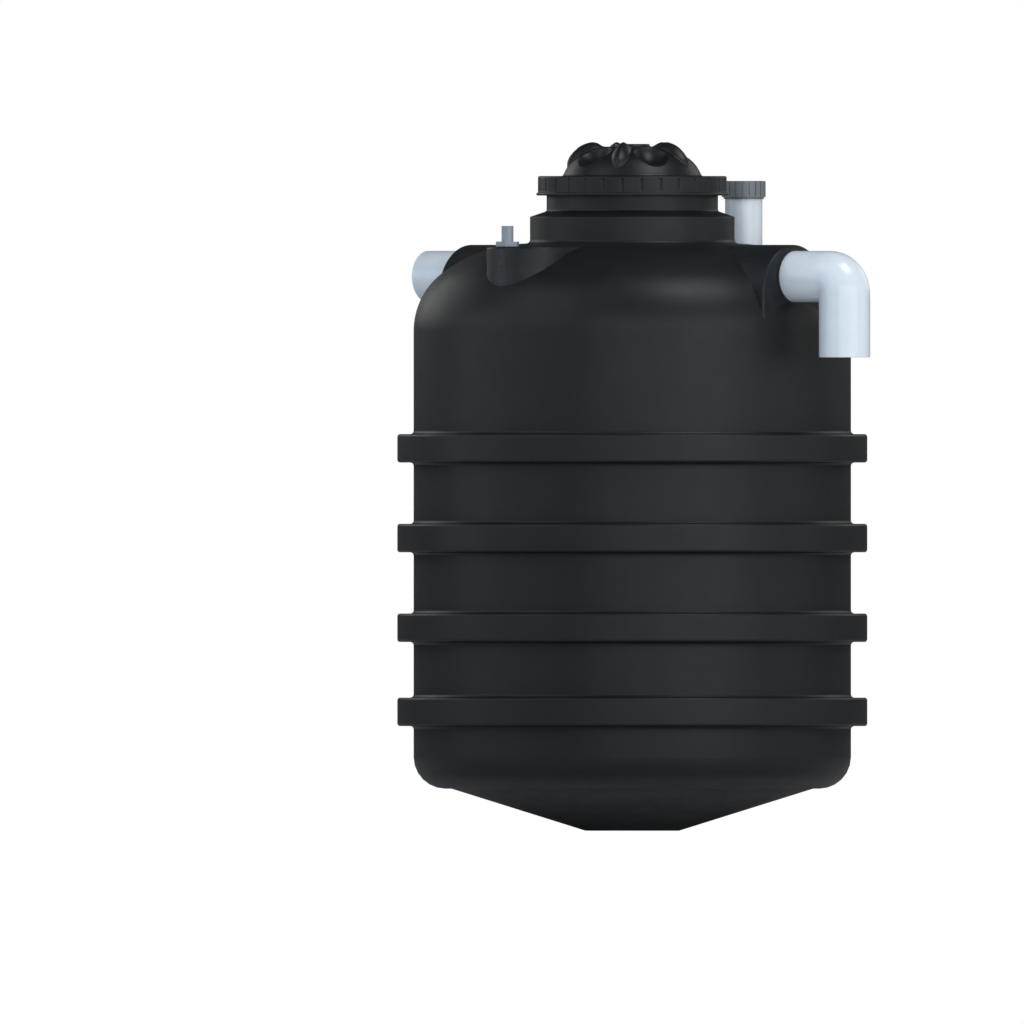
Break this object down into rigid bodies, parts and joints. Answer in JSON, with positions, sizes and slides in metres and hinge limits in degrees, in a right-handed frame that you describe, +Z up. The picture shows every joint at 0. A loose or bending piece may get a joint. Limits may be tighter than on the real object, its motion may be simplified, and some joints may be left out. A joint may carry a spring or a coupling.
{
  "type": "septic tank",
  "caption": "Upright ribbed cone-bottom septic tank with domed shoulder, screw-on manhole lid, inlet stub, elbowed outlet, capped riser and air fitting.",
  "frame": {"origin": "centre of the flat foot under the cone bottom", "axes": "+Z up along the tank's axis; +X along the outlet pipe; -Y towards the boss with the air fitting"},
  "size_m": [1.219, 1.006, 1.4742],
  "materials": {
    "black_polyethylene": "near-black satin moulded polyethylene",
    "white_pvc": "glossy blue-white extruded pipe",
    "grey_cap": "satin mid-grey moulded cap",
    "grey_fitting": "smooth grey moulded fitting",
    "seal_rubber": "dull black rubber"
  },
  "bodies": {
    "tank": {"air_bush": "grey_fitting", "base_knuckle": "black_polyethylene", "cleanout_riser": "white_pvc", "collar_slope": "black_polyethylene", "cone_bottom": "black_polyethylene", "foot_plate": "black_polyethylene", "front_boss": "black_polyethylene", "hose_nipple": "grey_fitting", "inlet_pipe": "white_pvc", "inlet_seal": "seal_rubber", "inlet_tunnel": "black_polyethylene", "manhole_collar": "black_polyethylene", "manhole_neck": "black_polyethylene", "outlet_elbow": "white_pvc", "outlet_leg": "white_pvc", "outlet_pipe": "white_pvc", "outlet_seal": "seal_rubber", "outlet_tunnel": "black_polyethylene", "rear_boss": "black_polyethylene", "rib_1_band": "black_polyethylene", "rib_1_lower": "black_polyethylene", "rib_1_upper": "black_polyethylene", "rib_2_band": "black_polyethylene", "rib_2_lower": "black_polyethylene", "rib_2_upper": "black_polyethylene", "rib_3_band": "black_polyethylene", "rib_3_lower": "black_polyethylene", "rib_3_upper": "black_polyethylene", "rib_4_band": "black_polyethylene", "rib_4_lower": "black_polyethylene", "rib_4_upper": "black_polyethylene", "riser_seal": "seal_rubber", "shoulder_front_inlet": "black_polyethylene", "shoulder_front_outlet": "black_polyethylene", "shoulder_rear_inlet": "black_polyethylene", "shoulder_rear_outlet": "black_polyethylene", "wall_band_1": "black_polyethylene", "wall_band_2": "black_polyethylene", "wall_band_3": "black_polyethylene", "wall_band_4": "black_polyethylene", "wall_band_5": "black_polyethylene"},
    "lid": {"lid_ring": "black_polyethylene", "lid_dome": "black_polyethylene", "lid_gasket": "seal_rubber"},
    "cap": {"cleanout_cap": "grey_cap"}
  },
  "joints": [
    {"name": "lid_lift", "type": "slide", "parent": "tank", "child": "lid", "axis": [0, 0, 1], "range_m": [0, 0.2]},
    {"name": "cap_lift", "type": "slide", "parent": "tank", "child": "cap", "axis": [0, 0, 1], "range_m": [0, 0.12]}
  ]
}
